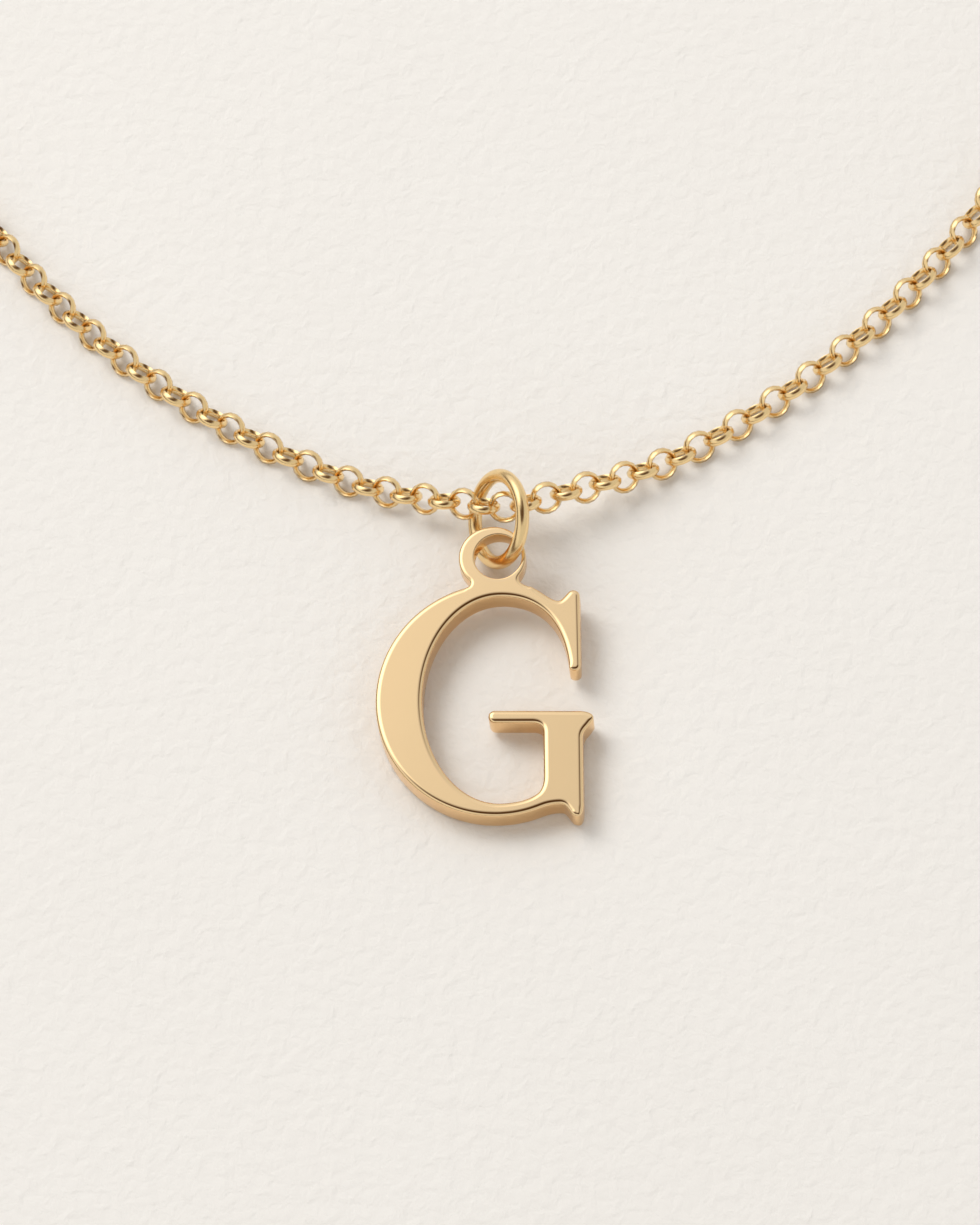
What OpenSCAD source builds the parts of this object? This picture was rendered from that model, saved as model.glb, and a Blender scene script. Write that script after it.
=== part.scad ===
// Letter charm on a jump ring, on a belcher chain with a plain clasp, lying on a table.
// Millimetres. X runs across the letter, Y up the letter, Z up from the table.

/* [Letter] */
// Half width of the outer bowl of the letter
bowl_rx = 8.85; // [7.5:0.05:10]
// Half height of the outer bowl of the letter
bowl_ry = 9.12; // [8.6:0.02:9.6]
// Width of the heavy left stroke at its middle
left_stroke = 3.4; // [2.4:0.05:3.8]
// Thickness of the light stroke at the top of the bowl
top_stroke = 1.1; // [0.9:0.05:1.6]
// Thickness of the light stroke at the bottom of the bowl
bottom_stroke = 1; // [0.8:0.05:1.5]
// Width of the upright stem
stem_w = 2.85; // [2.2:0.05:3.2]
// Right side of the stem
stem_right = 6.17; // [5.9:0.01:6.4]
// Thickness of the crossbar
bar_t = 0.97; // [0.8:0.01:1.2]
// Top of the crossbar above the foot of the bowl
bar_top = 8.1; // [7.4:0.1:9]
// Left end of the crossbar
bar_left = -0.65; // [-1.5:0.05:0.5]
// Thickness of the letter from back to front
letter_t = 2.3; // [1.6:0.1:3]
// How far the eyelet end of the letter is raised, in degrees
letter_tilt = 2.6; // [2.2:0.1:3.2]

/* [Eyelet] */
// Outer diameter of the eyelet
eyelet_d = 4.92; // [4.7:0.02:5.2]
// Diameter of the hole in the eyelet
hole_d = 3.5; // [3.45:0.05:3.6]
// Thickness of the eyelet, flush with the front of the letter
eyelet_t = 1.6; // [1.2:0.1:1.8]

/* [Jump ring] */
// Diameter of the ring, measured at the middle of its wire
ring_d = 6.38; // [6.2:0.02:6.4]
// Thickness of the ring's round wire
ring_wire = 1.02; // [0.8:0.02:1.04]
// Angle between the ring's plane and the table
ring_lean = 56.7; // [55:0.1:58]
// Turn of the ring about the vertical
ring_turn = 14.3; // [12:0.1:18]

/* [Chain] */
// Outside diameter of one round link
link_d = 2.39; // [2.39:0.01:2.43]
// Thickness of a link's wire across the link's plane
link_wall = 0.305; // [0.265:0.005:0.305]
// Width of a link's wire along the link's axis
link_w = 0.52; // [0.44:0.02:0.54]
// Distance between the centres of neighbouring links
link_pitch = 1.67; // [1.63:0.01:1.67]
// The same distance where the chain lies slack over the jump ring
slack_pitch = 1.57; // [1.54:0.01:1.59]
// Number of links in the whole chain
link_count = 244; // [230:2:244]
// Roll of the links to either side, so that the chain lies on both rows of edges
link_roll = 45; // [44:1:46]

/* [Loop] */
// Radius of the short bend at the jump ring
bend_r = 6; // [6:1:12]
// Angle of that bend on either side
bend_angle = 15.6; // [14:0.1:17]
// Radius of the two long front sides
side_r = 65.5; // [62:0.5:67]
// Turn of the whole loop on the table
loop_turn = 1.4; // [0:0.1:3]

/* [Clasp] */
// Diameter of the clasp's ring, measured at the middle of its wire
clasp_d = 4.6; // [4.4:0.1:5.2]
// Thickness of the clasp's wire
clasp_wire = 1.1; // [1:0.1:1.4]

/* [Hidden] */
$fn = 48;
gold = [0.86, 0.68, 0.38];
pale_gold = [0.90, 0.75, 0.48];

// Where the foot of the bowl stands, so that the whole object is centred on the origin
charm_at = [1.309, -90.906, 0];

// Letter: lines and corners of the outline, worked out from the sizes above
bowl_cy = bowl_ry;
bowl_top = 2 * bowl_ry;
counter_top = bowl_top - top_stroke;
counter_ry = (counter_top - bottom_stroke) / 2;
counter_cy = bottom_stroke + counter_ry;
counter_left = -bowl_rx + left_stroke;
counter_x = 0.22;
counter_rx = counter_x - counter_left;
stem_left = stem_right - stem_w;
bar_bottom = bar_top - bar_t;
bar_tip = stem_right + 0.8;
corner_r = 0.42;
serif_right = 6.1;
serif_left = 5.24;
horn_at = [5.62, 17.02];
horn_r = 0.48;
serif_tip = 11.15;
bar_slope = 0.033;
spur_x = 5.72;
spur_depth = 0.15;
foot_angle = 69;
head_angle = 73.3;
bowl_foot = [bowl_rx * cos(foot_angle), bowl_cy - bowl_ry * sin(foot_angle)];
bowl_head = [bowl_rx * cos(head_angle), bowl_cy + bowl_ry * sin(head_angle)];
foot_crest = [4.42, 0.83];
dip = [4.5, 16.71];
steps = 10;

function ellipse_arc(cx, cy, rx, ry, from, to, n) =
    [for (i = [0:n]) let (a = from + (to - from) * i / n) [cx + rx * cos(a), cy + ry * sin(a)]];

function curve(p, n = steps) =
    [for (i = [1:n]) let (t = i / n, u = 1 - t)
        u * u * u * p[0] + 3 * u * u * t * p[1] + 3 * u * t * t * p[2] + t * t * t * p[3]];

// Right foot: down the stem, round the blunt spur and up to the bowl
spur = concat(
    curve([[stem_right, 0.7], [stem_right, 0.15], [spur_x + 0.26, -spur_depth], [spur_x, -spur_depth]]),
    curve([[spur_x, -spur_depth], [spur_x - 0.24, -spur_depth], [spur_x - 0.37, 0], [spur_x - 0.5, 0.2]]),
    curve([[spur_x - 0.5, 0.2], [4.95, 0.6], foot_crest + [0.38, 0], foot_crest]),
    curve([foot_crest, foot_crest - [0.35, 0], bowl_foot + [0.45, 0.178], bowl_foot], 5));

// Bowl from the spur round the left to the thin top arm
bowl = ellipse_arc(0, bowl_cy, bowl_rx, bowl_ry, -foot_angle, head_angle - 360, 80);

// Top serif: the dip, the horn, the straight right side and the round tip
serif = concat(
    curve([bowl_head, bowl_head + [0.6, -0.19], dip - [0.67, -0.1], dip]),
    curve([dip, dip + [0.28, 0], horn_at + [-0.639, 0.039], horn_at + horn_r * [-sin(45), sin(45)]]),
    ellipse_arc(horn_at[0], horn_at[1], horn_r, horn_r, 135, 0, 12),
    ellipse_arc(serif_right - corner_r, serif_tip + corner_r, corner_r, corner_r, 0, -90, 6),
    curve([[serif_right - corner_r, serif_tip], [5.4, serif_tip], [5.2, 11.3], [serif_left, 11.6]]));

// Inside of the top arm, from the serif's tip back to the top of the counter
arm = curve([[serif_left, 11.6], [4.85, 15.5], [2.8, counter_top], [counter_x, counter_top]], 2 * steps);

// Left half of the counter, then its foot and the round corner at the stem
counter = concat(
    ellipse_arc(counter_x, counter_cy, counter_rx, counter_ry, 92, 270, 60),
    curve([[counter_x, bottom_stroke], [1.3, bottom_stroke], [2.2, 1.2], [2.85, 1.7]]),
    curve([[2.85, 1.7], [3.2, 1.97], [stem_left, 2.5], [stem_left, 3.1]]));

// Crossbar: the corner at the stem, the round left end and the pointed right end, falling a little to the right
level_bar = concat(
    [[stem_left, bar_bottom - 0.76]],
    curve([[stem_left, bar_bottom - 0.76], [stem_left, bar_bottom - 0.2], [stem_left - 0.3, bar_bottom],
           [stem_left - 0.8, bar_bottom]]),
    ellipse_arc(bar_left + bar_t / 2, bar_bottom + bar_t / 2, bar_t / 2, bar_t / 2, -90, -270, 12),
    [[6.05, bar_top]],
    curve([[6.05, bar_top], [6.5, bar_top], [bar_tip - 0.06, bar_top - 0.18], [bar_tip, bar_top - 0.48]]),
    curve([[bar_tip, bar_top - 0.48], [bar_tip + 0.02, bar_top - 0.7], [bar_tip - 0.1, bar_top - 0.76],
           [bar_tip - 0.17, bar_top - 0.9]], 4),
    curve([[bar_tip - 0.17, bar_top - 0.9], [6.55, 6.79], [stem_right, 6.59], [stem_right, 5.99]]));
bar = [for (p = level_bar) [p[0], p[1] - bar_slope * (p[0] - 3)]];

outline = concat(spur, bowl, serif, arm, counter, bar);

// Eyelet above the bowl: its hole sits a little to the right of its rim, as cast
eyelet_at = [-0.27, 20.26];
hole_at = [0.15, 20.3];
neck_left = -1.75;
neck_right = 1.6;
neck_foot = bowl_top - 0.55;
neck_head = bowl_top + 0.45;

// Jump ring: it stands on the table, leans on the eyelet and passes through it
ring_r = ring_d / 2;
ring_at = [0.22, 23.23, ring_r * sin(ring_lean) + ring_wire / 2];

// Chain: radius of the wire's domed sides, height of a rolled link's centre on the table, and the rise over the ring
link_mid_r = (link_d - link_wall) / 2;
dome = (link_w * link_w + link_wall * link_wall) / (4 * link_wall);
rest_z = (link_d / 2 - dome) * sin(link_roll) + dome;
rise = 2.4;
rise_half = 14;
rise_at = 1;
bend_foot = [0.75, 24.15, 0];
first_right = 1.5;
first_left = slack_pitch - first_right;

// Clasp: two end eyes shaped as links, joined to a round body with a small thumb knob
clasp_r = clasp_d / 2;
clasp_span = 2 * (clasp_r + link_mid_r);
knob_d = 0.9;
knob_len = 0.7;

// Height of the chain above the table at a length s from the bend's middle, and its slope in degrees
function lift(s) =
    rest_z + (abs(s - rise_at) < rise_half ? rise * pow(cos(90 * (s - rise_at) / rise_half), 2) : 0);
function slope(s) = atan((lift(s + 0.05) - lift(s - 0.05)) / 0.1);

// Lengths of the links' centres along the loop, a pitch apart in space
function pitch_near(s) = (abs(s - rise_at) < rise_half ? slack_pitch : link_pitch) * cos(slope(s));
function centres(first, count, side) =
    [for (i = 0, s = first; i < count; s = s + pitch_near(side * (s + link_pitch / 2)), i = i + 1) side * s];

half_count = link_count / 2;
right_centres = centres(first_right, half_count + 1, 1);
left_centres = centres(first_left, half_count + 1, -1);

// Lengths along the loop, from the bend at the charm to the back of the neck
loop_len = right_centres[half_count] - left_centres[half_count] + clasp_span;
half_len = loop_len / 2;
bend_len = bend_r * bend_angle * PI / 180;
side_len = side_r * (90 - bend_angle) * PI / 180;
back_r = bend_r * sin(bend_angle) + side_r * (1 - sin(bend_angle));
back_len = back_r * PI / 2;
straight_len = half_len - bend_len - side_len - back_len;
bend_end = [bend_r * sin(bend_angle), bend_r * (1 - cos(bend_angle))];
side_end = [back_r, bend_end[1] + side_r * cos(bend_angle)];

// Place and heading on the right half, at a length s from the bend's middle
function right_half(s) =
    s < bend_len ?
        let (a = s / bend_r * 180 / PI) [bend_r * sin(a), bend_r * (1 - cos(a)), a] :
    s < bend_len + side_len ?
        let (a = bend_angle + (s - bend_len) / side_r * 180 / PI)
            [bend_end[0] + side_r * (sin(a) - sin(bend_angle)),
             bend_end[1] + side_r * (cos(bend_angle) - cos(a)), a] :
    s < bend_len + side_len + straight_len ?
        [back_r, side_end[1] + s - bend_len - side_len, 90] :
        let (a = (s - bend_len - side_len - straight_len) / back_r * 180 / PI)
            [back_r * cos(a), side_end[1] + straight_len + back_r * sin(a), 90 + a];

function route(s) = s >= 0 ? right_half(s) : let (q = right_half(-s)) [-q[0], q[1], -q[2]];

// One round link about Z, its wire domed inside and outside
module link() {
    rotate_extrude()
        intersection() {
            translate([link_mid_r + link_wall / 2 - dome, 0]) circle(r = dome);
            translate([link_mid_r - link_wall / 2 + dome, 0]) circle(r = dome);
        }
}

// Moves its children to a place along the loop, rolled to one side
module along(s, roll) {
    q = route(s);
    translate([q[0], q[1], lift(s)])
        rotate([0, 0, q[2]])
            rotate([0, -slope(s), 0])
                rotate([roll, 0, 0])
                    children();
}

// Moves its children from the charm's frame to the place where the charm lies
module at_charm() { translate(charm_at) children(); }

// Moves its children from the loop's frame to the turned loop
module at_loop() { at_charm() translate(bend_foot) rotate([0, 0, loop_turn]) children(); }

module letter() {
    color(pale_gold) at_charm()
        translate([0, 0, spur_depth * sin(letter_tilt)]) rotate([letter_tilt, 0, 0])
            difference() {
                union() {
                    linear_extrude(letter_t) polygon(outline);
                    translate([0, 0, letter_t - eyelet_t]) linear_extrude(eyelet_t) {
                        translate(eyelet_at) circle(d = eyelet_d);
                        translate([neck_left, neck_foot])
                            square([neck_right - neck_left, neck_head - neck_foot]);
                    }
                }
                translate([hole_at[0], hole_at[1], -1]) cylinder(d = hole_d, h = letter_t + 2);
            }
}

module jump_ring() {
    color(gold) at_charm() translate(ring_at)
        rotate([0, 0, ring_turn]) rotate([0, -ring_lean, 0])
            rotate_extrude() translate([ring_r, 0]) circle(d = ring_wire);
}

module chain_right() {
    color(gold) at_loop()
        for (i = [0:half_count - 1]) along(right_centres[i], i % 2 == 0 ? -link_roll : link_roll) link();
}

module chain_left() {
    color(gold) at_loop()
        for (i = [0:half_count - 1]) along(left_centres[i], i % 2 == 0 ? link_roll : -link_roll) link();
}

module clasp() {
    right_eye = right_centres[half_count];
    left_eye = left_centres[half_count];
    middle = (right_eye + left_eye + loop_len) / 2;
    color(gold) at_loop() {
        along(right_eye, half_count % 2 == 0 ? -link_roll : link_roll) link();
        along(left_eye, half_count % 2 == 0 ? link_roll : -link_roll) link();
        along(middle, 0) translate([0, 0, clasp_wire / 2 - rest_z]) {
            rotate_extrude() translate([clasp_r, 0]) circle(d = clasp_wire);
            translate([0, clasp_r, 0]) rotate([-90, 0, 0])
                cylinder(d = knob_d, h = clasp_wire / 2 + knob_len);
        }
    }
}

letter();
jump_ring();
chain_left();
chain_right();
clasp();
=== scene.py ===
"""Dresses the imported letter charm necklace: gold pieces, a paper surface, soft light and the camera."""

from __future__ import annotations

import logging
import math
from dataclasses import dataclass
from enum import Enum

import bmesh
import bpy
import numpy as np
from mathutils import Matrix, Vector

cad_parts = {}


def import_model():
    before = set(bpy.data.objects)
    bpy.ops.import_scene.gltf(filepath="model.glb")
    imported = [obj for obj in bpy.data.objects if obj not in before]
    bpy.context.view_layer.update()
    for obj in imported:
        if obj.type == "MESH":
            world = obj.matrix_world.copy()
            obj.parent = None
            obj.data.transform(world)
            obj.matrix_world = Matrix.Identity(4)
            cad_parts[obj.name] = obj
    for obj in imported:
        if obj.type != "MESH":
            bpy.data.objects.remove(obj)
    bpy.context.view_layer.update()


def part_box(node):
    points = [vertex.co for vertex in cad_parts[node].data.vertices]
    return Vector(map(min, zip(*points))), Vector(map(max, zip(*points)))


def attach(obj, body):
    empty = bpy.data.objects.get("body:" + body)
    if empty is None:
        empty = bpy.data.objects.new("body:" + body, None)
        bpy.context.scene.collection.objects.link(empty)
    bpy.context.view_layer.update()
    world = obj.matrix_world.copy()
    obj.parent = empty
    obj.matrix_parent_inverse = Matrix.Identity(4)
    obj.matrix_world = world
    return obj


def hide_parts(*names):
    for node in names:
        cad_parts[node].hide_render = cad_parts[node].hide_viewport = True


logging.basicConfig(level=logging.INFO, format="%(message)s")
LOG = logging.getLogger("necklace")
Point = tuple[float, float]
Place = tuple[float, float, float]
Colour = tuple[float, float, float]

MM = 0.001
WELD_DISTANCE = 0.0008 * MM
LEVEL_SLACK = 0.002 * MM
CHARM_PLACE: Place = (1.309, -90.906, 0.0)


class Slot(Enum):
    """The record's material slots."""

    LETTER = "polished_gold"
    CHAIN = "chain_gold"


class Side(Enum):
    """The two halves of the chain, seen from above with the letter upright."""

    LEFT = "left"
    RIGHT = "right"


def clear_selection() -> None:
    """Leaves edit mode and deselects every object."""
    if bpy.context.object and bpy.context.object.mode != "OBJECT":
        bpy.ops.object.mode_set(mode="OBJECT")
    bpy.ops.object.select_all(action="DESELECT")


def make_active(piece: bpy.types.Object) -> None:
    """Selects one object alone and makes it the active one."""
    clear_selection()
    piece.select_set(True)
    bpy.context.view_layer.objects.active = piece


def ellipse_arc(centre: Point, radii: Point, start: float, end: float, steps: int) -> list[Point]:
    """Lays points along an arc of an ellipse.

    Args:
        centre: Middle of the ellipse.
        radii: Half width and half height.
        start: First angle, in degrees.
        end: Last angle, in degrees.
        steps: Number of steps between them.

    Returns:
        The points, with both ends.
    """
    angles = [math.radians(start + (end - start) * i / steps) for i in range(steps + 1)]
    return [(centre[0] + radii[0] * math.cos(a), centre[1] + radii[1] * math.sin(a)) for a in angles]


def cubic(p0: Point, p1: Point, p2: Point, p3: Point, steps: int = 14) -> list[Point]:
    """Lays points along a cubic curve.

    Args:
        p0: Start.
        p1: First handle.
        p2: Second handle.
        p3: End.
        steps: Number of steps.

    Returns:
        The points after the start, up to the end.
    """
    points = []
    for i in range(1, steps + 1):
        t = i / steps
        shares = ((1 - t) ** 3, 3 * (1 - t) ** 2 * t, 3 * (1 - t) * t * t, t**3)
        points.append(tuple(sum(w * p[axis] for w, p in zip(shares, (p0, p1, p2, p3))) for axis in (0, 1)))
    return points


class RingSkin:
    """A skin grown ring by ring in edit mode: one circle primitive, extruded and set out again."""

    def __init__(self, name: str, points: np.ndarray) -> None:
        """Adds the first ring.

        Args:
            name: Name of the new object.
            points: Places of the ring's vertices, in order round it.
        """
        clear_selection()
        bpy.ops.mesh.primitive_circle_add(vertices=len(points), radius=MM, fill_type="NOTHING")
        self.piece = bpy.context.active_object
        self.piece.name = name
        bpy.ops.object.mode_set(mode="EDIT")
        mesh = bmesh.from_edit_mesh(self.piece.data)
        order = mesh.verts.layers.int.new("order")
        mesh.verts.ensure_lookup_table()
        for i, vertex in enumerate(mesh.verts):
            vertex[order] = i
        self._set_out(points)

    def _set_out(self, points: np.ndarray) -> None:
        """Moves the selected ring's vertices to their places."""
        mesh = bmesh.from_edit_mesh(self.piece.data)
        order = mesh.verts.layers.int["order"]
        for vertex in mesh.verts:
            if vertex.select:
                vertex.co = points[vertex[order]]
        bmesh.update_edit_mesh(self.piece.data)

    def grow(self, points: np.ndarray) -> None:
        """Extrudes the last ring and sets the new one out."""
        bpy.ops.mesh.extrude_edges_indiv()
        self._set_out(points)

    def close_ends(self) -> None:
        """Closes the first and the last ring with a face each."""
        bpy.ops.mesh.select_mode(type="EDGE")
        bpy.ops.mesh.select_non_manifold(extend=False)
        bpy.ops.mesh.edge_face_add()
        bpy.ops.mesh.select_mode(type="VERT")

    def done(self) -> bpy.types.Object:
        """Leaves edit mode and returns the object."""
        bpy.ops.object.mode_set(mode="OBJECT")
        return self.piece


def grow_skin(name: str, rings: list[np.ndarray]) -> RingSkin:
    """Returns a skin grown through a list of rings, still in edit mode."""
    skin = RingSkin(name, rings[0])
    for ring in rings[1:]:
        skin.grow(ring)
    return skin


def wire_section(ring_r: float, wire_r: float, angle: float, sides: int) -> np.ndarray:
    """Lays out one section of a round-wire ring that lies about the origin.

    Args:
        ring_r: Radius of the ring at the middle of its wire, in millimetres.
        wire_r: Radius of the wire, in millimetres.
        angle: Where the section stands on the ring, in degrees.
        sides: Number of points.

    Returns:
        The section's places, in metres.
    """
    a = math.radians(angle)
    turns = [2 * math.pi * k / sides for k in range(sides)]
    reach = [(ring_r + wire_r * math.cos(b), wire_r * math.sin(b)) for b in turns]
    return np.array([(r * math.cos(a), r * math.sin(a), z) for r, z in reach]) * MM


def join(name: str, pieces: list[bpy.types.Object]) -> bpy.types.Object:
    """Joins objects into the first one.

    Args:
        name: Name of the joined object.
        pieces: The objects.

    Returns:
        The joined object.
    """
    make_active(pieces[0])
    for piece in pieces[1:]:
        piece.select_set(True)
    if len(pieces) > 1:
        bpy.ops.object.join()
    pieces[0].name = name
    pieces[0].data.name = name
    return pieces[0]


def weld(piece: bpy.types.Object) -> None:
    """Merges vertices that lie on one another."""
    make_active(piece)
    bpy.ops.object.mode_set(mode="EDIT")
    bpy.ops.mesh.select_all(action="SELECT")
    bpy.ops.mesh.remove_doubles(threshold=WELD_DISTANCE)
    bpy.ops.object.mode_set(mode="OBJECT")


def fill_level(piece: bpy.types.Object, z: float) -> None:
    """Fills the open loops of a piece at one height in its own space, with any hole in them left open."""
    make_active(piece)
    bpy.ops.object.mode_set(mode="EDIT")
    bpy.ops.mesh.select_mode(type="EDGE")
    bpy.ops.mesh.select_all(action="DESELECT")
    mesh = bmesh.from_edit_mesh(piece.data)
    for edge in mesh.edges:
        if edge.is_boundary and all(abs(v.co.z - z) < LEVEL_SLACK for v in edge.verts):
            edge.select_set(True)
    bmesh.update_edit_mesh(piece.data)
    bpy.ops.mesh.fill(use_beauty=False)
    bpy.ops.mesh.select_mode(type="VERT")
    bpy.ops.object.mode_set(mode="OBJECT")


def turn_outwards(piece: bpy.types.Object) -> None:
    """Points every face of a closed piece outwards."""
    make_active(piece)
    bpy.ops.object.mode_set(mode="EDIT")
    bpy.ops.mesh.select_all(action="SELECT")
    bpy.ops.mesh.normals_make_consistent(inside=False)
    bpy.ops.object.mode_set(mode="OBJECT")


def settle(piece: bpy.types.Object, place: Matrix) -> None:
    """Puts a piece in its place and applies that to its mesh."""
    make_active(piece)
    piece.matrix_world = place
    bpy.ops.object.transform_apply(location=True, rotation=True, scale=True)


def smooth(piece: bpy.types.Object, angle: float = 40.0) -> None:
    """Shades a piece smooth, with edges sharper than an angle in degrees kept."""
    make_active(piece)
    bpy.ops.object.shade_smooth_by_angle(angle=math.radians(angle))


def hand_over(piece: bpy.types.Object, slot: Slot, finish: bpy.types.Material, *nodes: str) -> None:
    """Dresses a finished piece and gives it the place of its CAD nodes.

    Args:
        piece: The finished piece.
        slot: The record's material slot; not used.
        finish: The piece's material.
        nodes: The CAD nodes that it stands for.
    """
    piece.data.materials.clear()
    piece.data.materials.append(finish)
    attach(piece, "root")
    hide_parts(*nodes)
    corners = np.array([tuple(corner) for corner in piece.bound_box])
    for node in nodes:
        low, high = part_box(node)
        off = np.maximum(abs(corners.min(0) - np.array(low)), abs(corners.max(0) - np.array(high)))
        LOG.info("%s stands for %s, box off by %s mm", piece.name, node, (off / MM).round(3))


def add_noise(nodes: bpy.types.Nodes, scale: float, detail: float) -> bpy.types.Node:
    """Adds a noise texture and returns it."""
    noise = nodes.new("ShaderNodeTexNoise")
    noise.inputs["Scale"].default_value = scale
    noise.inputs["Detail"].default_value = detail
    return noise


def add_blend(nodes: bpy.types.Nodes, first: Colour, second: Colour) -> bpy.types.Node:
    """Adds a blend from one colour to another and returns it."""
    blend = nodes.new("ShaderNodeMix")
    blend.data_type = "RGBA"
    blend.inputs["A"].default_value = (*first, 1.0)
    blend.inputs["B"].default_value = (*second, 1.0)
    return blend


def emboss(tree: bpy.types.NodeTree, texture: bpy.types.Node, height: float) -> None:
    """Gives a material's surface the relief of a texture, at a height in metres."""
    bump = tree.nodes.new("ShaderNodeBump")
    bump.inputs["Strength"].default_value = 1.0
    bump.inputs["Distance"].default_value = height
    tree.links.new(texture.outputs["Fac"], bump.inputs["Height"])
    tree.links.new(bump.outputs["Normal"], tree.nodes["Principled BSDF"].inputs["Normal"])


@dataclass(frozen=True)
class PolishedGold:
    """Polished gold plate with slight waves and soft polishing marks, and with satin walls where asked, which
    also carry a painted shade.

    Attributes:
        wave: Height of the waves, in metres.
        satin_roughness: Roughness of the walls, or 0 for a piece without satin walls and without their
            painted shade.
        wall_plane: Direction along which the height of the walls is measured.
        wall_height: Height where the walls end, in metres.
        wall_blend: Height over which the walls' satin and painted shade give way to the polished face, in
            metres.
    """

    name: str
    colour: Colour
    deep_colour: Colour
    roughness: float
    mark_roughness: float
    wave: float
    satin_roughness: float = 0.0
    # Painted shade of the walls: a darker, warmer gold that stands in for the warm, shaded floor they mirror.
    wall_shade_colour: Colour = (0.90, 0.61, 0.31)
    wall_plane: Place = (0.0, 0.0, 1.0)
    wall_height: float = 0.0
    wall_blend: float = 0.15 * MM
    tone_scale: float = 260.0
    mark_scale: float = 900.0
    mark_limits: Point = (0.35, 0.7)
    wave_scale: float = 170.0

    def build(self) -> bpy.types.Material:
        """Returns the material."""
        material = bpy.data.materials.new(self.name)
        material.use_nodes = True
        nodes, links = material.node_tree.nodes, material.node_tree.links
        shader = nodes["Principled BSDF"]
        shader.inputs["Metallic"].default_value = 1.0
        place = nodes.new("ShaderNodeTexCoord")
        tone = add_noise(nodes, self.tone_scale, 3.0)
        blend = add_blend(nodes, self.colour, self.deep_colour)
        marks = add_noise(nodes, self.mark_scale, 4.0)
        rough = nodes.new("ShaderNodeMapRange")
        rough.inputs["From Min"].default_value, rough.inputs["From Max"].default_value = self.mark_limits
        rough.inputs["To Min"].default_value = self.roughness
        rough.inputs["To Max"].default_value = self.mark_roughness
        waves = add_noise(nodes, self.wave_scale, 1.0)
        for texture in (tone, marks, waves):
            links.new(place.outputs["Object"], texture.inputs["Vector"])
        links.new(tone.outputs["Fac"], blend.inputs["Factor"])
        links.new(marks.outputs["Fac"], rough.inputs["Value"])
        finish, tint = rough.outputs["Result"], blend.outputs["Result"]
        # Walls: satin roughness, plus a painted shade of darker, warmer gold for the warm, shaded floor they
        # mirror.
        if self.satin_roughness:
            height = nodes.new("ShaderNodeVectorMath")
            height.operation = "DOT_PRODUCT"
            height.inputs[1].default_value = self.wall_plane
            face_mask = nodes.new("ShaderNodeMapRange")
            face_mask.inputs["From Min"].default_value = self.wall_height
            face_mask.inputs["From Max"].default_value = self.wall_height + self.wall_blend
            walls = nodes.new("ShaderNodeMix")
            walls.inputs["A"].default_value = self.satin_roughness
            # Painted shade: the walls' colour turns to the face's colour above the top of the walls.
            wall_shade = add_blend(nodes, self.wall_shade_colour, self.colour)
            links.new(place.outputs["Object"], height.inputs[0])
            links.new(height.outputs["Value"], face_mask.inputs["Value"])
            for mix, end in ((walls, finish), (wall_shade, tint)):
                links.new(face_mask.outputs["Result"], mix.inputs["Factor"])
                links.new(end, mix.inputs["B"])
            finish, tint = walls.outputs["Result"], wall_shade.outputs["Result"]
        links.new(tint, shader.inputs["Base Color"])
        links.new(finish, shader.inputs["Roughness"])
        emboss(material.node_tree, waves, self.wave)
        return material


@dataclass(frozen=True)
class CottonPaper:
    """Heavy cream paper with faint clouds and a soft, felted surface."""

    colour: Colour = (0.92, 0.91, 0.885)
    shade: Colour = (0.895, 0.882, 0.855)
    roughness: float = 0.95
    shine: float = 0.15
    cloud_scale: float = 45.0
    felt_scale: float = 900.0
    felt_twist: float = 0.3
    felt_relief: float = 0.17 * MM

    def build(self) -> bpy.types.Material:
        """Returns the material."""
        material = bpy.data.materials.new("cotton_paper")
        material.use_nodes = True
        nodes, links = material.node_tree.nodes, material.node_tree.links
        shader = nodes["Principled BSDF"]
        shader.inputs["Roughness"].default_value = self.roughness
        shader.inputs["Specular IOR Level"].default_value = self.shine
        place = nodes.new("ShaderNodeTexCoord")
        cloud = add_noise(nodes, self.cloud_scale, 5.0)
        blend = add_blend(nodes, self.shade, self.colour)
        felt = add_noise(nodes, self.felt_scale, 4.0)
        felt.inputs["Distortion"].default_value = self.felt_twist
        for texture in (cloud, felt):
            links.new(place.outputs["Object"], texture.inputs["Vector"])
        links.new(cloud.outputs["Fac"], blend.inputs["Factor"])
        links.new(blend.outputs["Result"], shader.inputs["Base Color"])
        emboss(material.node_tree, felt, self.felt_relief)
        return material


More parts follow.
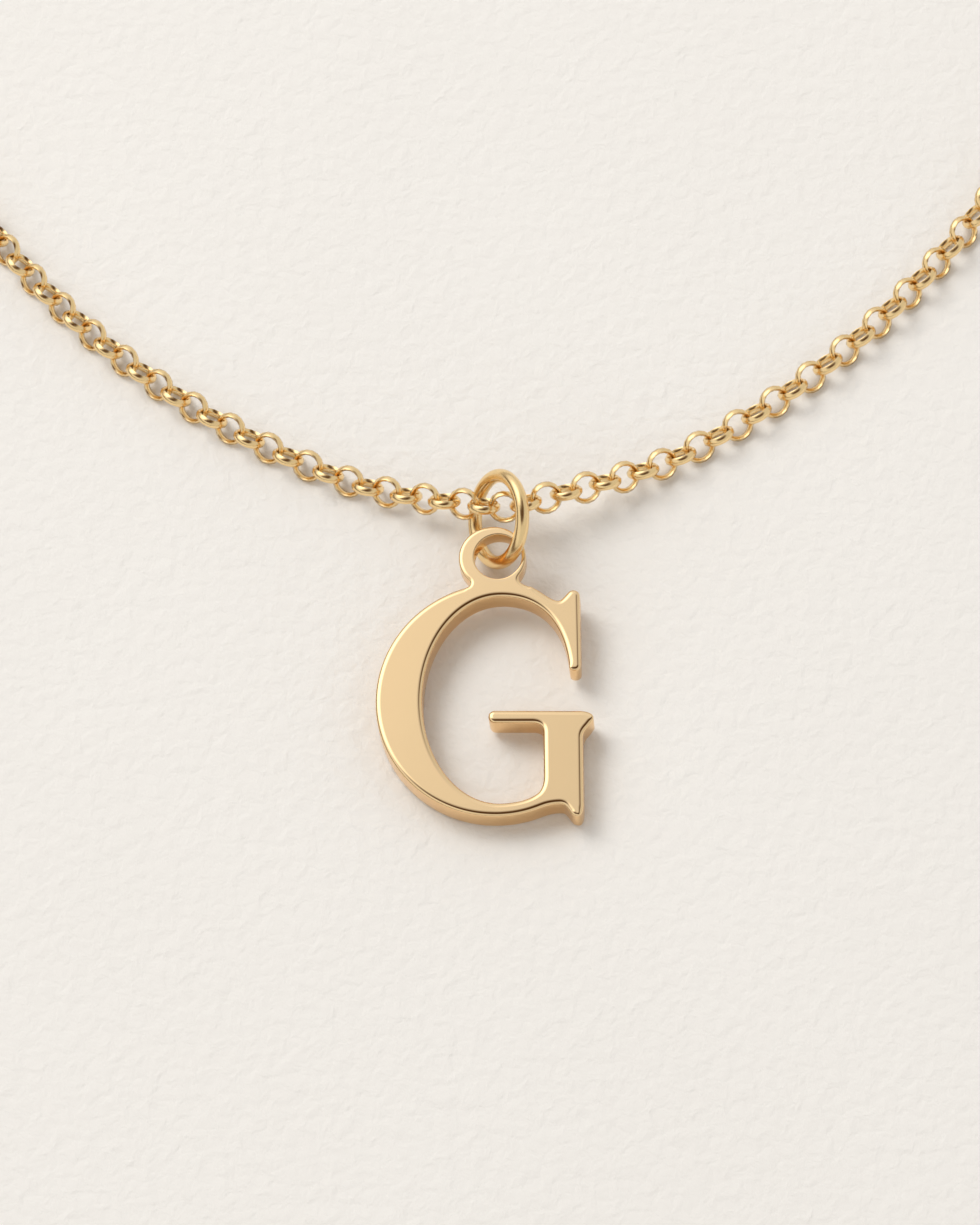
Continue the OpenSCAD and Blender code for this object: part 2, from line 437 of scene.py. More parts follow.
@dataclass
class LetterCharm:
    """The cast letter with its eyelet. Sizes are in millimetres, in the letter's own plane.

    Attributes:
        bowl: Half width and half height of the outer bowl, an ellipse.
        foot_angle: Where the bowl meets the foot, in degrees below its middle.
        head_angle: Where the bowl meets the top serif, in degrees above its middle.
        eyelet_roots: Where the eyelet's neck leaves the bowl, left and right of the middle.
        rim_angles: Where the neck meets the eyelet's rim, in degrees.
        round_height: Height of a front rounding, as a share of its width.
        front_share: Largest share of the metal's half width that a front rounding takes.
        back_share: The same for a back rounding.
        front_flat: Width of the narrow ring of flat face beside a front rounding.
        back_flat: Width of a back rounding with the ring of flat beside it, as a share of the rounding's.
    """

    place: Place = CHARM_PLACE
    tilt: float = 2.6
    bowl: Point = (8.85, 9.12)
    left_stroke: float = 3.4
    top_stroke: float = 1.1
    bottom_stroke: float = 1.0
    stem_w: float = 2.85
    stem_right: float = 6.17
    bar_t: float = 0.97
    bar_top: float = 8.1
    bar_left: float = -0.65
    bar_slope: float = 0.033
    thickness: float = 2.3
    spur_x: float = 5.72
    spur_depth: float = 0.15
    foot_angle: float = 69.0
    head_angle: float = 73.3
    serif_left: float = 5.24
    serif_right: float = 6.1
    serif_tip: float = 11.15
    horn: Point = (5.62, 17.02)
    horn_r: float = 0.48
    corner_r: float = 0.42
    counter_x: float = 0.22
    eyelet_centre: Point = (-0.27, 20.26)
    eyelet_r: float = 2.46
    eyelet_t: float = 1.6
    eyelet_roots: Point = (-2.25, 2.4)
    rim_angles: Point = (225.0, -35.0)
    hole_centre: Point = (0.15, 20.3)
    hole_r: float = 1.75
    front_round: float = 0.36
    round_height: float = 0.6
    back_round: float = 0.3
    eyelet_round: float = 0.27
    rim_round: float = 0.18
    hole_round: float = 0.1
    front_share: float = 0.7
    back_share: float = 0.85
    front_flat: float = 0.04
    back_flat: float = 1.15
    round_steps: int = 8

    def _foot(self) -> list[Point]:
        """Returns the right foot: down the stem, round the spur and up to the bowl."""
        x, low, right = self.spur_x, -self.spur_depth, self.stem_right
        crest = (4.42, 0.83)
        angle = math.radians(self.foot_angle)
        end = (self.bowl[0] * math.cos(angle), self.bowl[1] * (1 - math.sin(angle)))
        return (
            cubic((right, 0.9), (right, 0.3), (x + 0.34, low), (x, low))
            + cubic((x, low), (x - 0.3, low), (x - 0.43, 0.02), (x - 0.56, 0.22))
            + cubic((x - 0.56, 0.22), (4.91, 0.6), (crest[0] + 0.38, crest[1]), crest)
            + cubic(crest, (crest[0] - 0.35, crest[1]), (end[0] + 0.45, end[1] + 0.178), end, 6)[:-1]
        )

    def _bowl_arc(self, start: float, end: float, steps: int) -> list[Point]:
        """Returns points of the outer bowl between two angles in degrees."""
        return ellipse_arc((0.0, self.bowl[1]), self.bowl, start, end, steps)

    def _bowl_point(self, x: float) -> tuple[float, Point]:
        """Returns the angle and the place where the bowl's top half has a given x."""
        angle = math.degrees(math.acos(x / self.bowl[0])) - 360.0
        return angle, self._bowl_arc(angle, angle, 1)[0]

    def _eyelet_arc(self, start: float, end: float, steps: int) -> list[Point]:
        """Returns points of the eyelet's rim between two angles in degrees."""
        return ellipse_arc(self.eyelet_centre, (self.eyelet_r, self.eyelet_r), start, end, steps)

    def _serif(self) -> list[Point]:
        """Returns the top serif, from the bowl's thin end to the tip's inner side."""
        angle = math.radians(self.head_angle)
        head = (self.bowl[0] * math.cos(angle), self.bowl[1] * (1 + math.sin(angle)))
        dip, horn = (4.5, 16.71), self.horn
        shoulder = self.horn_r * math.sqrt(0.5)
        right, tip, r = self.serif_right, self.serif_tip, self.corner_r
        return (
            cubic(head, (head[0] + 0.6, head[1] - 0.19), (dip[0] - 0.67, dip[1] + 0.1), dip)
            + cubic(
                dip,
                (dip[0] + 0.28, dip[1]),
                (horn[0] - 0.639, horn[1] + 0.039),
                (horn[0] - shoulder, horn[1] + shoulder),
            )
            + ellipse_arc(horn, (self.horn_r, self.horn_r), 135, 0, 18)[1:]
            + ellipse_arc((right - r, tip + r), (r, r), 0, -90, 10)
            + cubic((right - r, tip), (5.4, tip), (5.2, 11.3), (self.serif_left, 11.6))
        )

    def _counter(self) -> list[Point]:
        """Returns the inner side: the thin arm, the counter's left half and its foot at the stem."""
        top = 2 * self.bowl[1] - self.top_stroke
        ry = (top - self.bottom_stroke) / 2
        left = -self.bowl[0] + self.left_stroke
        x, low = self.counter_x, self.bottom_stroke
        stem_left = self.stem_right - self.stem_w
        return (
            cubic((self.serif_left, 11.6), (4.85, 15.5), (2.8, top), (x, top), 50)
            + ellipse_arc((x, low + ry), (x - left, ry), 92, 270, 140)
            + cubic((x, low), (1.3, low), (2.2, 1.2), (2.85, 1.7))
            + cubic((2.85, 1.7), (3.2, 1.97), (stem_left, 2.5), (stem_left, 3.1))
        )

    def _bar(self) -> list[Point]:
        """Returns the crossbar, from the stem's left side round both of its ends."""
        left = self.stem_right - self.stem_w
        top, low, tip = self.bar_top, self.bar_top - self.bar_t, self.stem_right + 0.8
        half, pivot = self.bar_t / 2, 3.0
        level = (
            [(left, low - 0.76)]
            + cubic((left, low - 0.76), (left, low - 0.2), (left - 0.3, low), (left - 0.8, low))
            + ellipse_arc((self.bar_left + half, low + half), (half, half), -90, -270, 24)
            + [(6.05, top)]
            + cubic((6.05, top), (6.5, top), (tip - 0.06, top - 0.18), (tip, top - 0.48))
            + cubic(
                (tip, top - 0.48),
                (tip + 0.02, top - 0.7),
                (tip - 0.1, top - 0.76),
                (tip - 0.17, top - 0.9),
                8,
            )
            + cubic((tip - 0.17, top - 0.9), (6.55, 6.79), (self.stem_right, 6.59), (self.stem_right, 5.99))
        )
        return [(x, y - self.bar_slope * (x - pivot)) for x, y in level]

    @property
    def lift(self) -> float:
        """How far the tilted letter is raised, so that its spur rests on the table."""
        return self.spur_depth * math.sin(math.radians(self.tilt))

    def wall_top(self) -> tuple[Place, float]:
        """Returns the front face's direction and, in metres along it, the height where the walls end."""
        tilt = math.radians(self.tilt)
        plane = (0.0, -math.sin(tilt), math.cos(tilt))
        foot = self.place[1] * plane[1] + (self.place[2] + self.lift) * plane[2]
        return plane, (foot + self.thickness - self.round_height * self.front_round) * MM

    def outlines(self) -> tuple[np.ndarray, np.ndarray, np.ndarray, np.ndarray]:
        """Lays out the letter's closed lines, each with the metal on its right.

        Returns:
            The outline with the eyelet, a mask of its points there, the outline without it and the hole.
        """
        (left_angle, left_root), (right_angle, right_root) = map(self._bowl_point, self.eyelet_roots)
        around = self._eyelet_arc(*self.rim_angles, 104)
        before = self._foot() + self._bowl_arc(-self.foot_angle, left_angle, 220)
        after = self._bowl_arc(right_angle, self.head_angle - 360, 5)
        after += self._serif() + self._counter() + self._bar()
        rim = (
            cubic(left_root, (-1.93, 18.0), (-1.76, 18.27), around[0], 12)
            + around[1:]
            + cubic(around[-1], (1.45, 18.48), (1.85, 18.05), right_root, 12)[:-1]
        )
        under = self._bowl_arc(left_angle, right_angle, 30)[1:-1]
        whole = np.array(before + rim + after)
        on_rim = np.array([False] * len(before) + [True] * len(rim) + [False] * len(after))
        hole = np.array(ellipse_arc(self.hole_centre, (self.hole_r, self.hole_r), 0, 360, 96)[:-1])
        return whole, on_rim, np.array(before + under + after), hole

    @staticmethod
    def _inwards(line: np.ndarray) -> np.ndarray:
        """Returns the unit normal at each point of a closed line, into the metal."""
        along = np.roll(line, -1, 0) - np.roll(line, 1, 0)
        along /= np.linalg.norm(along, axis=1)[:, None]
        return np.stack([along[:, 1], -along[:, 0]], 1)

    @classmethod
    def _room(cls, line: np.ndarray, others: np.ndarray) -> np.ndarray:
        """Measures how deep a rounding may go at each point.

        Args:
            line: The closed line.
            others: Every point that bounds the metal.

        Returns:
            The radius of the largest circle that touches the line there and holds no other point.
        """
        normal = cls._inwards(line)
        to = others[None, :, :] - line[:, None, :]
        ahead = np.einsum("ijk,ik->ij", to, normal)
        radius = np.where(ahead > 1e-4, (to**2).sum(2) / (2 * np.maximum(ahead, 1e-4)), 99.0)
        return radius.min(1)

    @staticmethod
    def _eased(line: np.ndarray, wish: np.ndarray, slope: float = 0.5) -> np.ndarray:
        """Limits how fast a rounding's size may change along a closed line."""
        step = np.linalg.norm(np.roll(line, -1, 0) - line, axis=1)
        at = np.concatenate([[0.0], np.cumsum(step)[:-1]])
        gap = np.abs(at[None, :] - at[:, None])
        gap = np.minimum(gap, step.sum() - gap)
        return (wish[None, :] + slope * gap).min(1)

    @staticmethod
    def _ring(line: np.ndarray, normal: np.ndarray, inset: np.ndarray, z: np.ndarray) -> np.ndarray:
        """Returns one ring of places, in metres, moved into the metal and set at a height."""
        flat = line + normal * inset[:, None]
        return np.column_stack([flat, z]) * MM

    def _front_rings(self, line: np.ndarray, room: np.ndarray, wish: np.ndarray) -> list[np.ndarray]:
        """Returns the rings from the wall's top over the front rounding to the flat face."""
        normal = self._inwards(line)
        r = self._eased(line, np.minimum(wish, self.front_share * room))
        rings = []
        for k in range(self.round_steps + 1):
            a = math.pi / 2 * k / self.round_steps
            z = self.thickness - self.round_height * r * (1 - math.sin(a))
            rings.append(self._ring(line, normal, r * (1 - math.cos(a)), z))
        flat = np.maximum(np.minimum(r + self.front_flat, 0.95 * room), r * 1.01)
        rings.append(self._ring(line, normal, flat, np.full(len(line), self.thickness)))
        return rings

    def _back_rings(self, line: np.ndarray, r: np.ndarray, z: float, steps: int) -> list[np.ndarray]:
        """Returns the rings from a flat back at one height over its rounding to the wall."""
        normal = self._inwards(line)
        rings = [self._ring(line, normal, r * self.back_flat, np.full(len(line), z))]
        for k in range(steps + 1):
            a = math.pi / 2 * k / steps
            rings.append(self._ring(line, normal, r * (1 - math.sin(a)), z + r * (1 - math.cos(a))))
        return rings

    def _upper(
        self, whole: np.ndarray, on_rim: np.ndarray, bounds: np.ndarray, low: float
    ) -> bpy.types.Object:
        """Returns the walls above the eyelet's back, with their roundings."""
        room = self._room(whole, bounds)
        back = np.where(on_rim, np.minimum(self.rim_round, self.back_share * room), 0.0)
        front = np.where(on_rim, self.eyelet_round, self.front_round)
        rings = self._back_rings(whole, self._eased(whole, back), low, 4)
        return grow_skin("upper", rings + self._front_rings(whole, room, front)).done()

    def _lower(self, bare: np.ndarray, high: float) -> bpy.types.Object:
        """Returns the walls below the eyelet's back, round the outline without the eyelet."""
        back = self._eased(bare, np.minimum(self.back_round, self.back_share * self._room(bare, bare)))
        rings = self._back_rings(bare, back, 0.0, 6)
        rings.append(self._ring(bare, self._inwards(bare), np.zeros(len(bare)), np.full(len(bare), high)))
        return grow_skin("lower", rings).done()

    def _inner(self, hole: np.ndarray, bounds: np.ndarray, low: float) -> bpy.types.Object:
        """Returns the eyelet's hole with its roundings, from its back at a height to the front."""
        room = self._room(hole, bounds)
        rings = self._back_rings(hole, np.minimum(self.rim_round, self.back_share * room), low, 4)
        rings += self._front_rings(hole, room, np.full(len(hole), self.hole_round))
        return grow_skin("inner", rings).done()

    def build(self) -> bpy.types.Object:
        """Returns the letter, closed and in its place."""
        whole, on_rim, bare, hole = self.outlines()
        bounds = np.concatenate([whole, hole])
        eyelet_back = self.thickness - self.eyelet_t
        skins = [
            self._upper(whole, on_rim, bounds, eyelet_back),
            self._lower(bare, eyelet_back),
            self._inner(hole, bounds, eyelet_back),
        ]
        letter = join("letter_charm", skins)
        weld(letter)
        for z in (self.thickness, 0.0, eyelet_back):
            fill_level(letter, z * MM)
        weld(letter)
        turn_outwards(letter)
        x, y, z = self.place
        stand = Matrix.Translation(Vector((x, y, z + self.lift)) * MM)
        settle(letter, stand @ Matrix.Rotation(math.radians(self.tilt), 4, "X"))
        smooth(letter)
        return letter


@dataclass
class JumpRing:
    """The round-wire ring between the eyelet and the chain, with the closed cut between its ends.

    Attributes:
        at: The ring's centre, from the letter's place.
        lean: Angle between the ring and the table, in degrees.
        cut_profile: Angles from the cut, in degrees, with the wire's share of its full size there.
        cut_end: Angle from the cut to the evenly spaced sections, in degrees.
    """

    charm: Place = CHARM_PLACE
    at: Point = (0.22, 23.23)
    diameter: float = 6.38
    wire: float = 1.02
    lean: float = 56.7
    turn: float = 14.3
    steps: int = 112
    sides: int = 28
    cut_angle: float = 118.0
    cut_profile: tuple[Point, ...] = ((0.0, 0.93), (0.25, 0.955), (0.6, 0.99), (1.3, 1.0))
    cut_end: float = 3.0

    def _turns(self) -> list[Point]:
        """Returns each section's angle in degrees and its share of the wire's size."""
        before = [(-a, share) for a, share in self.cut_profile[:0:-1]]
        wide = [(a, 1.0) for a in np.linspace(self.cut_end, 360.0 - self.cut_end, self.steps)]
        return [(self.cut_angle + a, share) for a, share in (*before, *self.cut_profile, *wide)]

    def build(self) -> bpy.types.Object:
        """Returns the ring, closed and in its place."""
        r, wire_r = self.diameter / 2, self.wire / 2
        sections = [wire_section(r, wire_r * share, angle, self.sides) for angle, share in self._turns()]
        ring = grow_skin("jump_ring_wire", sections + sections[:1]).done()
        weld(ring)
        turn_outwards(ring)
        z = self.diameter / 2 * math.sin(math.radians(self.lean)) + self.wire / 2
        place = Vector((self.charm[0] + self.at[0], self.charm[1] + self.at[1], self.charm[2] + z)) * MM
        settle(
            ring,
            Matrix.Translation(place)
            @ Matrix.Rotation(math.radians(self.turn), 4, "Z")
            @ Matrix.Rotation(math.radians(-self.lean), 4, "Y"),
        )
        smooth(ring)
        return ring


@dataclass
class LoopCourse:
    """The course of the chain's loop on the table, in millimetres, as in the part's source.

    Attributes:
        foot: The middle of the loop's front bend, from the letter's place.
        wall: Thickness of a link's wire across the link.
        width: Width of the wire along the link's axis.
        slack_pitch: The links' pitch where the chain rises over the jump ring.
        roll: Roll of the links to either side in turn, in degrees.
        bend_angle: Half angle of the front bend, in degrees.
        rise_at: Middle of the rise, along the loop.
        first_right: First link on the right, along the loop.
    """

    charm: Place = CHARM_PLACE
    foot: Point = (0.75, 24.15)
    turn: float = 1.4
    link_d: float = 2.39
    wall: float = 0.305
    width: float = 0.52
    pitch: float = 1.67
    slack_pitch: float = 1.57
    count: int = 244
    roll: float = 45.0
    bend_r: float = 6.0
    bend_angle: float = 15.6
    side_r: float = 65.5
    clasp_d: float = 4.6
    rise: float = 2.4
    rise_half: float = 14.0
    rise_at: float = 1.0
    first_right: float = 1.5
    slope_step: float = 0.05

    def __post_init__(self) -> None:
        """Places the links along the loop and works out the lengths of the loop's stretches."""
        half, lean = self.count // 2, math.radians(self.bend_angle)
        self.right = self.centres(self.first_right, half + 1, 1)
        self.left = self.centres(self.slack_pitch - self.first_right, half + 1, -1)
        clasp_span = 2 * (self.clasp_d / 2 + self.mid_r)
        self.loop = self.right[half] - self.left[half] + clasp_span
        self.bend = self.bend_r * lean
        self.side = self.side_r * (math.pi / 2 - lean)
        self.back_r = self.bend_r * math.sin(lean) + self.side_r * (1 - math.sin(lean))
        self.straight = self.loop / 2 - self.bend - self.side - self.back_r * math.pi / 2

    @property
    def mid_r(self) -> float:
        """The radius of a link at the middle of its wire."""
        return (self.link_d - self.wall) / 2

    @property
    def dome(self) -> float:
        """The radius of the wire's domed sides."""
        return (self.width**2 + self.wall**2) / (4 * self.wall)

    @property
    def rest_z(self) -> float:
        """The height of a rolled link's centre on the table."""
        return (self.link_d / 2 - self.dome) * math.sin(math.radians(self.roll)) + self.dome

    def height(self, s: float) -> float:
        """Returns the height of the chain at a length along the loop."""
        off = s - self.rise_at
        if abs(off) >= self.rise_half:
            return self.rest_z
        return self.rest_z + self.rise * math.cos(math.pi / 2 * off / self.rise_half) ** 2

    def slope(self, s: float) -> float:
        """Returns the chain's slope at a length along the loop, as an angle."""
        step = self.slope_step
        return math.atan((self.height(s + step) - self.height(s - step)) / (2 * step))

    def centres(self, first: float, count: int, sign: int) -> list[float]:
        """Steps along one half of the loop.

        Args:
            first: The first link's distance from the bend's middle.
            count: The number of links.
            sign: 1 on the right and -1 on the left.

        Returns:
            The links' lengths along the loop.
        """
        s, found = first, []
        for _ in range(count):
            found.append(sign * s)
            middle = sign * (s + self.pitch / 2)
            near = self.slack_pitch if abs(middle - self.rise_at) < self.rise_half else self.pitch
            s += near * math.cos(self.slope(middle))
        return found

    def _right_half(self, s: float) -> tuple[float, float, float]:
        """Returns the place and heading on the right half, at a length from the bend's middle."""
        lean = math.radians(self.bend_angle)
        if s < self.bend:
            a = s / self.bend_r
            return self.bend_r * math.sin(a), self.bend_r * (1 - math.cos(a)), a
        x0, y0 = self.bend_r * math.sin(lean), self.bend_r * (1 - math.cos(lean))
        if s < self.bend + self.side:
            a = lean + (s - self.bend) / self.side_r
            return (
                x0 + self.side_r * (math.sin(a) - math.sin(lean)),
                y0 + self.side_r * (math.cos(lean) - math.cos(a)),
                a,
            )
        y1 = y0 + self.side_r * math.cos(lean)
        if s < self.bend + self.side + self.straight:
            return self.back_r, y1 + s - self.bend - self.side, math.pi / 2
        a = (s - self.bend - self.side - self.straight) / self.back_r
        y = y1 + self.straight + self.back_r * math.sin(a)
        return self.back_r * math.cos(a), y, math.pi / 2 + a

    def matrix(self, s: float, roll: float) -> Matrix:
        """Returns the matrix that puts a link at a length along the loop, with a roll in degrees."""
        x, y, heading = self._right_half(abs(s))
        if s < 0:
            x, heading = -x, -heading
        foot = Vector((self.charm[0] + self.foot[0], self.charm[1] + self.foot[1], self.charm[2])) * MM
        return (
            Matrix.Translation(foot)
            @ Matrix.Rotation(math.radians(self.turn), 4, "Z")
            @ Matrix.Translation(Vector((x, y, self.height(s))) * MM)
            @ Matrix.Rotation(heading, 4, "Z")
            @ Matrix.Rotation(-self.slope(s), 4, "Y")
            @ Matrix.Rotation(math.radians(roll), 4, "X")
        )

    def places(self, side: Side) -> list[Matrix]:
        """Returns the places of one half's links, from the charm to the clasp."""
        lengths = self.right if side is Side.RIGHT else self.left
        turns = (-self.roll, self.roll) if side is Side.RIGHT else (self.roll, -self.roll)
        return [self.matrix(s, turns[i % 2]) for i, s in enumerate(lengths[: self.count // 2])]


@dataclass
class BelcherLink:
    """One round link. Its wire is a little fuller than the part's, so that neighbours nearly touch.

    Attributes:
        fuller: How far the wire's outside stands out past the part's, in millimetres.
        wider: Its width as a share of the part's.
        spare: How far its inside keeps back from the next link's middle, in millimetres.
    """

    course: LoopCourse
    steps: int = 16
    fuller: float = 0.03
    wider: float = 1.2
    spare: float = 0.04
    smooth_angle: float = 70.0

    def section(self) -> list[Point]:
        """Returns the wire's section as offsets from its middle, out and along the link's axis."""
        out, half = self.course.wall / 2 + self.fuller, self.wider * self.course.width / 2
        inner = self.course.pitch / 2 - self.course.mid_r + self.spare
        return [
            (out, 0.4 * half),
            (-0.01, half),
            (inner, 0.5 * half),
            (inner, -0.5 * half),
            (-0.01, -half),
            (out, -0.4 * half),
        ]

    def build(self) -> bpy.types.Object:
        """Returns one link round the origin."""
        section = [(self.course.mid_r + out, 0.0, up) for out, up in self.section()]
        skin = RingSkin("belcher_link", np.array(section) * MM)
        bpy.ops.mesh.select_all(action="SELECT")
        bpy.ops.mesh.spin(steps=self.steps, angle=2 * math.pi, center=(0, 0, 0), axis=(0, 0, 1), dupli=False)
        link = skin.done()
        weld(link)
        turn_outwards(link)
        smooth(link, self.smooth_angle)
        return link


@dataclass
class ChainHalf:
    """One half of the chain: a modelled link copied along the loop."""

    course: LoopCourse
    side: Side
    link: bpy.types.Object

    def build(self) -> bpy.types.Object:
        """Returns the joined links, each with its own mesh, in their places."""
        copies = []
        for place in self.course.places(self.side):
            copy = self.link.copy()
            copy.data = self.link.data.copy()
            copy.matrix_world = place
            bpy.context.scene.collection.objects.link(copy)
            copies.append(copy)
        make_active(copies[0])
        bpy.ops.object.transform_apply(location=True, rotation=True, scale=True)
        return join(f"chain_{self.side.value}_links", copies)


@dataclass
class Clasp:
    """The plain clasp at the back of the neck, with its two end eyes and a thumb knob.

    Attributes:
        link: The modelled link that each end eye copies.
        gate_seams: Angles between which the wire narrows at the gate's two ends, in degrees.
        seam_share: The wire's share of its full size there.
        knob_foot: Where the knob starts inside the wire, in millimetres from its middle.
    """

    course: LoopCourse
    link: bpy.types.Object
    wire: float = 1.1
    gate_seams: tuple[Point, ...] = ((30.0, 40.0), (140.0, 150.0))
    seam_share: float = 0.93
    knob_d: float = 0.9
    knob_len: float = 0.7
    knob_foot: float = 0.1
    knob_sides: int = 24
    steps: int = 64
    sides: int = 20
    smooth_angle: float = 50.0

    def _body(self, place: Matrix) -> bpy.types.Object:
        """Returns the clasp's ring with the seams of its sliding gate, in its place."""
        sections = []
        for angle in np.linspace(0.0, 360.0, self.steps, endpoint=False):
            on_seam = any(low <= angle <= high for low, high in self.gate_seams)
            wire_r = self.wire / 2 * (self.seam_share if on_seam else 1.0)
            sections.append(wire_section(self.course.clasp_d / 2, wire_r, angle, self.sides))
        body = grow_skin("clasp_body", sections + sections[:1]).done()
        weld(body)
        turn_outwards(body)
        settle(body, place)
        return body

    def _knob(self, place: Matrix) -> bpy.types.Object:
        """Returns the thumb knob, a short rounded pin on the clasp's ring."""
        end = self.wire / 2 + self.knob_len
        profile = [(0.9, self.knob_foot), (0.9, end - 0.42), (1.0, end - 0.34), (1.0, end - 0.1)]
        profile += [(0.9, end - 0.03), (0.6, end)]
        rings = []
        for share, out in profile:
            r, y = self.knob_d / 2 * share, self.course.clasp_d / 2 + out
            turns = np.linspace(0.0, 2 * math.pi, self.knob_sides, endpoint=False)
            rings.append(np.array([(r * math.cos(b), y, r * math.sin(b)) for b in turns]) * MM)
        skin = grow_skin("clasp_knob", rings)
        skin.close_ends()
        knob = skin.done()
        turn_outwards(knob)
        settle(knob, place)
        return knob

    def build(self) -> bpy.types.Object:
        """Returns the clasp with its two end eyes."""
        half = self.course.count // 2
        eyes = []
        for s, side in ((self.course.right[half], Side.RIGHT), (self.course.left[half], Side.LEFT)):
            roll = -self.course.roll if (half % 2 == 0) == (side is Side.RIGHT) else self.course.roll
            eye = self.link.copy()
            eye.data = self.link.data.copy()
            bpy.context.scene.collection.objects.link(eye)
            settle(eye, self.course.matrix(s, roll))
            eyes.append(eye)
        middle = (self.course.right[half] + self.course.left[half] + self.course.loop) / 2
        down = Matrix.Translation((0.0, 0.0, (self.wire / 2 - self.course.rest_z) * MM))
        place = self.course.matrix(middle, 0.0) @ down
        clasp = join("clasp_ring", [self._body(place), self._knob(place), *eyes])
        smooth(clasp, self.smooth_angle)
        return clasp


@dataclass
class Studio:
    """The paper surface, the soft light round it and the camera at the photograph's angle.

    Attributes:
        distance: The camera's distance, in millimetres, at which mm_per_pixel holds.
        frame: Size of the photograph, in pixels.
        aim_pixel: Where the aimed point lies in the photograph.
        aim_height: Its height up the letter, in millimetres.
        cap_direction: Middle of the bright cap that the letter's face mirrors.
        horizon_direction: Direction along which the height of the dark horizon is measured.
        side_limits: Where the left light starts and ends to give way to the right one; the others likewise.
        paper_drop: How far the sheet lies below the table's height, in millimetres.
    """

    letter: LetterCharm
    elevation: float = 64.5
    azimuth: float = 7.0
    roll: float = 0.3
    distance: float = 480.0
    mm_per_pixel: float = 0.0725
    frame: tuple[int, int] = (980, 1225)
    aim_pixel: Point = (497.0, 697.5)
    aim_height: float = 9.17
    cap_direction: Place = (-0.35, 0.62, 0.70)
    cap_light: Colour = (1.085, 1.07, 1.07)
    left_light: Colour = (1.05, 1.03, 1.00)
    right_light: Colour = (0.84, 0.825, 0.80)
    ceiling_light: Colour = (0.11, 0.055, 0.02)
    horizon_light: Colour = (0.14, 0.09, 0.05)
    sky_strength: float = 0.85
    horizon_direction: Place = (0.25, 0.0, 1.0)
    side_limits: Point = (-0.55, 0.05)
    horizon_limits: Point = (0.14, 0.02)
    ceiling_limits: Point = (0.77, 0.90)
    cap_limits: Point = (0.66, 0.94)
    window_limits: Point = (0.885, 0.985)
    window_direction: Place = (-0.46, 0.44, 0.77)
    window_light: Colour = (2.6, 2.5, 2.36)
    window_distance: float = 0.9
    window_size: float = 0.42
    window_power: float = 2.25
    window_colour: Colour = (1.0, 0.985, 0.96)
    paper_size: float = 4.0
    paper_drop: float = 0.02

    def surface(self) -> None:
        """Lays down the sheet of paper that everything lies on."""
        clear_selection()
        bpy.ops.mesh.primitive_plane_add(size=self.paper_size, location=(0.0, 0.0, -self.paper_drop * MM))
        floor = bpy.context.active_object
        floor.name = "paper_surface"
        bpy.ops.object.transform_apply(location=True, rotation=True, scale=True)
        floor.data.materials.append(CottonPaper().build())

    def sky(self) -> None:
        """Lights the room: bright sides, a cap behind with a window's glow, a dark ceiling and horizon."""
        world = bpy.data.worlds.new("room")
        bpy.context.scene.world = world
        world.use_nodes = True
        nodes, links = world.node_tree.nodes, world.node_tree.links
        nodes.clear()
        place = nodes.new("ShaderNodeTexCoord")
        parts = nodes.new("ShaderNodeSeparateXYZ")
        links.new(place.outputs["Generated"], parts.inputs["Vector"])

        def along(direction: Vector) -> bpy.types.NodeSocket:
            """Returns how far each direction of the sky points along a given one."""
            toward = nodes.new("ShaderNodeVectorMath")
            toward.operation = "DOT_PRODUCT"
            toward.inputs[1].default_value = direction
            links.new(place.outputs["Generated"], toward.inputs[0])
            return toward.outputs["Value"]

        def zone(value: bpy.types.NodeSocket, limits: Point, blend: bpy.types.Node) -> bpy.types.NodeSocket:
            """Returns a blend's colour, which goes over while a value moves between two limits."""
            step = nodes.new("ShaderNodeMapRange")
            step.interpolation_type = "SMOOTHSTEP"
            step.inputs["From Min"].default_value, step.inputs["From Max"].default_value = limits
            links.new(value, step.inputs["Value"])
            links.new(step.outputs["Result"], blend.inputs["Factor"])
            return blend.outputs["Result"]

        def over(below: bpy.types.NodeSocket, light: Colour) -> bpy.types.Node:
            """Returns a blend from the sky so far to another light."""
            blend = add_blend(nodes, light, light)
            links.new(below, blend.inputs["A"])
            return blend

        across, up = parts.outputs["X"], parts.outputs["Z"]
        level = along(Vector(self.horizon_direction))
        toward_cap = along(Vector(self.cap_direction).normalized())
        toward_window = along(Vector(self.window_direction).normalized())
        sides = zone(across, self.side_limits, add_blend(nodes, self.left_light, self.right_light))
        low = zone(level, self.horizon_limits, over(sides, self.horizon_light))
        ceiling = zone(up, self.ceiling_limits, over(low, self.ceiling_light))
        capped = zone(toward_cap, self.cap_limits, over(ceiling, self.cap_light))
        lit = zone(toward_window, self.window_limits, over(capped, self.window_light))
        background = nodes.new("ShaderNodeBackground")
        background.inputs["Strength"].default_value = self.sky_strength
        output = nodes.new("ShaderNodeOutputWorld")
        links.new(lit, background.inputs["Color"])
        links.new(background.outputs["Background"], output.inputs["Surface"])

    def window(self) -> None:
        """Adds the window's light: a soft square lamp that looks at the letter and isn't mirrored."""
        data = bpy.data.lights.new("window", "AREA")
        data.shape = "SQUARE"
        data.size = self.window_size
        data.energy = self.window_power
        data.color = self.window_colour
        lamp = bpy.data.objects.new("window", data)
        bpy.context.scene.collection.objects.link(lamp)
        direction = Vector(self.window_direction)
        lamp.location = Vector(self.letter.place) * MM + direction.normalized() * self.window_distance
        lamp.rotation_euler = direction.to_track_quat("Z", "Y").to_euler()
        lamp.visible_camera = lamp.visible_glossy = False

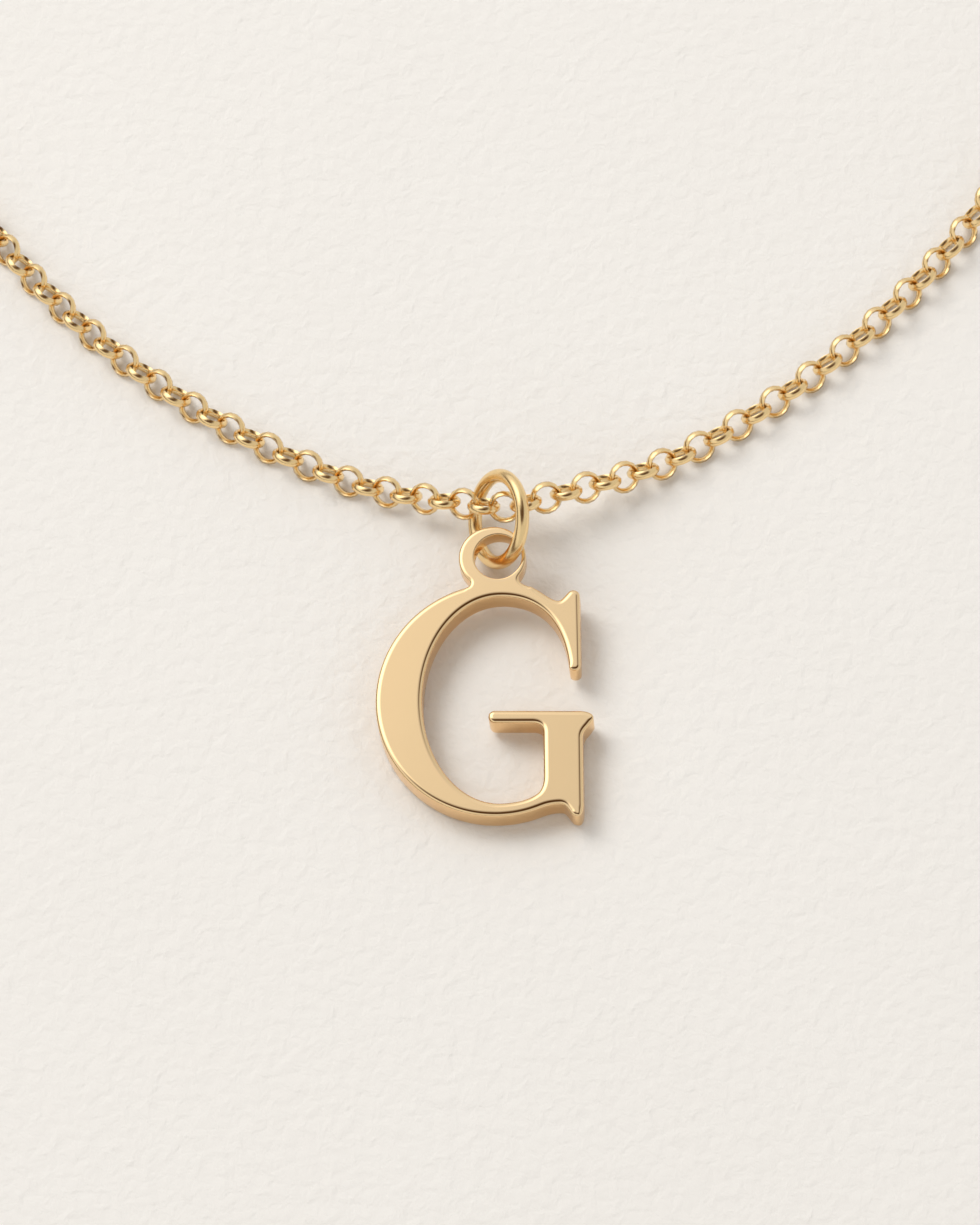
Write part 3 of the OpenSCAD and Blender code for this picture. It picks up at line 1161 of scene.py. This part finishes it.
    def camera(self) -> None:
        """Sets the camera where the photograph was taken."""
        e, a = math.radians(self.elevation), math.radians(self.azimuth)
        back = Vector((math.cos(e) * math.sin(a), -math.cos(e) * math.cos(a), math.sin(e)))
        right = Vector((math.cos(a), math.sin(a), 0.0))
        up = back.cross(right)
        roll = math.atan2(right.y, up.y) + math.radians(self.roll)
        right, up = math.cos(roll) * right - math.sin(roll) * up, math.sin(roll) * right + math.cos(roll) * up
        tilt = math.radians(self.letter.tilt)
        aim = Vector(self.letter.place) + Vector((0.0, 0.0, self.letter.lift))
        aim += Matrix.Rotation(tilt, 3, "X") @ Vector((0.0, self.aim_height, self.letter.thickness))
        focal = self.distance / self.mm_per_pixel
        off_x = (self.aim_pixel[0] - self.frame[0] / 2) / focal
        off_y = (self.frame[1] / 2 - self.aim_pixel[1]) / focal
        place = (aim + (back - off_x * right - off_y * up) * self.distance) * MM
        data = bpy.data.cameras.new("camera")
        data.sensor_width = 36.0
        data.lens = focal / max(self.frame) * data.sensor_width
        data.clip_start, data.clip_end = 0.01, 20.0
        camera = bpy.data.objects.new("camera", data)
        bpy.context.scene.collection.objects.link(camera)
        camera.matrix_world = Matrix.Translation(place) @ Matrix((right, up, back)).transposed().to_4x4()
        bpy.context.scene.camera = camera

    def build(self) -> None:
        """Sets up the camera, the surface and the light."""
        self.camera()
        self.surface()
        self.sky()
        self.window()
        bpy.context.scene.view_settings.view_transform = "Standard"
        bpy.context.scene.view_settings.look = "None"


def main() -> None:
    """Builds the pieces in order and reports each one."""
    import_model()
    letter = LetterCharm()
    course = LoopCourse()
    Studio(letter).build()

    plane, height = letter.wall_top()
    face_gold = PolishedGold(
        name="letter_gold",
        colour=(0.90, 0.67, 0.385),
        deep_colour=(0.89, 0.655, 0.37),
        roughness=0.06,
        mark_roughness=0.09,
        wave=0.004 * MM,
        # Satin walls, which also carry the painted shade of darker, warmer gold.
        satin_roughness=0.20,
        wall_plane=plane,
        wall_height=height,
    ).build()
    wire_gold = PolishedGold(
        name="chain_gold",
        colour=(0.95, 0.715, 0.38),
        deep_colour=(0.92, 0.675, 0.34),
        roughness=0.19,
        mark_roughness=0.25,
        wave=0.003 * MM,
    ).build()

    hand_over(letter.build(), Slot.LETTER, face_gold, "letter")
    hand_over(JumpRing().build(), Slot.CHAIN, wire_gold, "jump_ring")
    link = BelcherLink(course).build()
    for side in Side:
        half = ChainHalf(course, side, link).build()
        hand_over(half, Slot.CHAIN, wire_gold, f"chain_{side.value}")
    hand_over(Clasp(course, link).build(), Slot.CHAIN, wire_gold, "clasp")
    bpy.data.objects.remove(link)
    LOG.info("loop %.1f mm", course.loop)


if __name__ == "__main__":
    main()
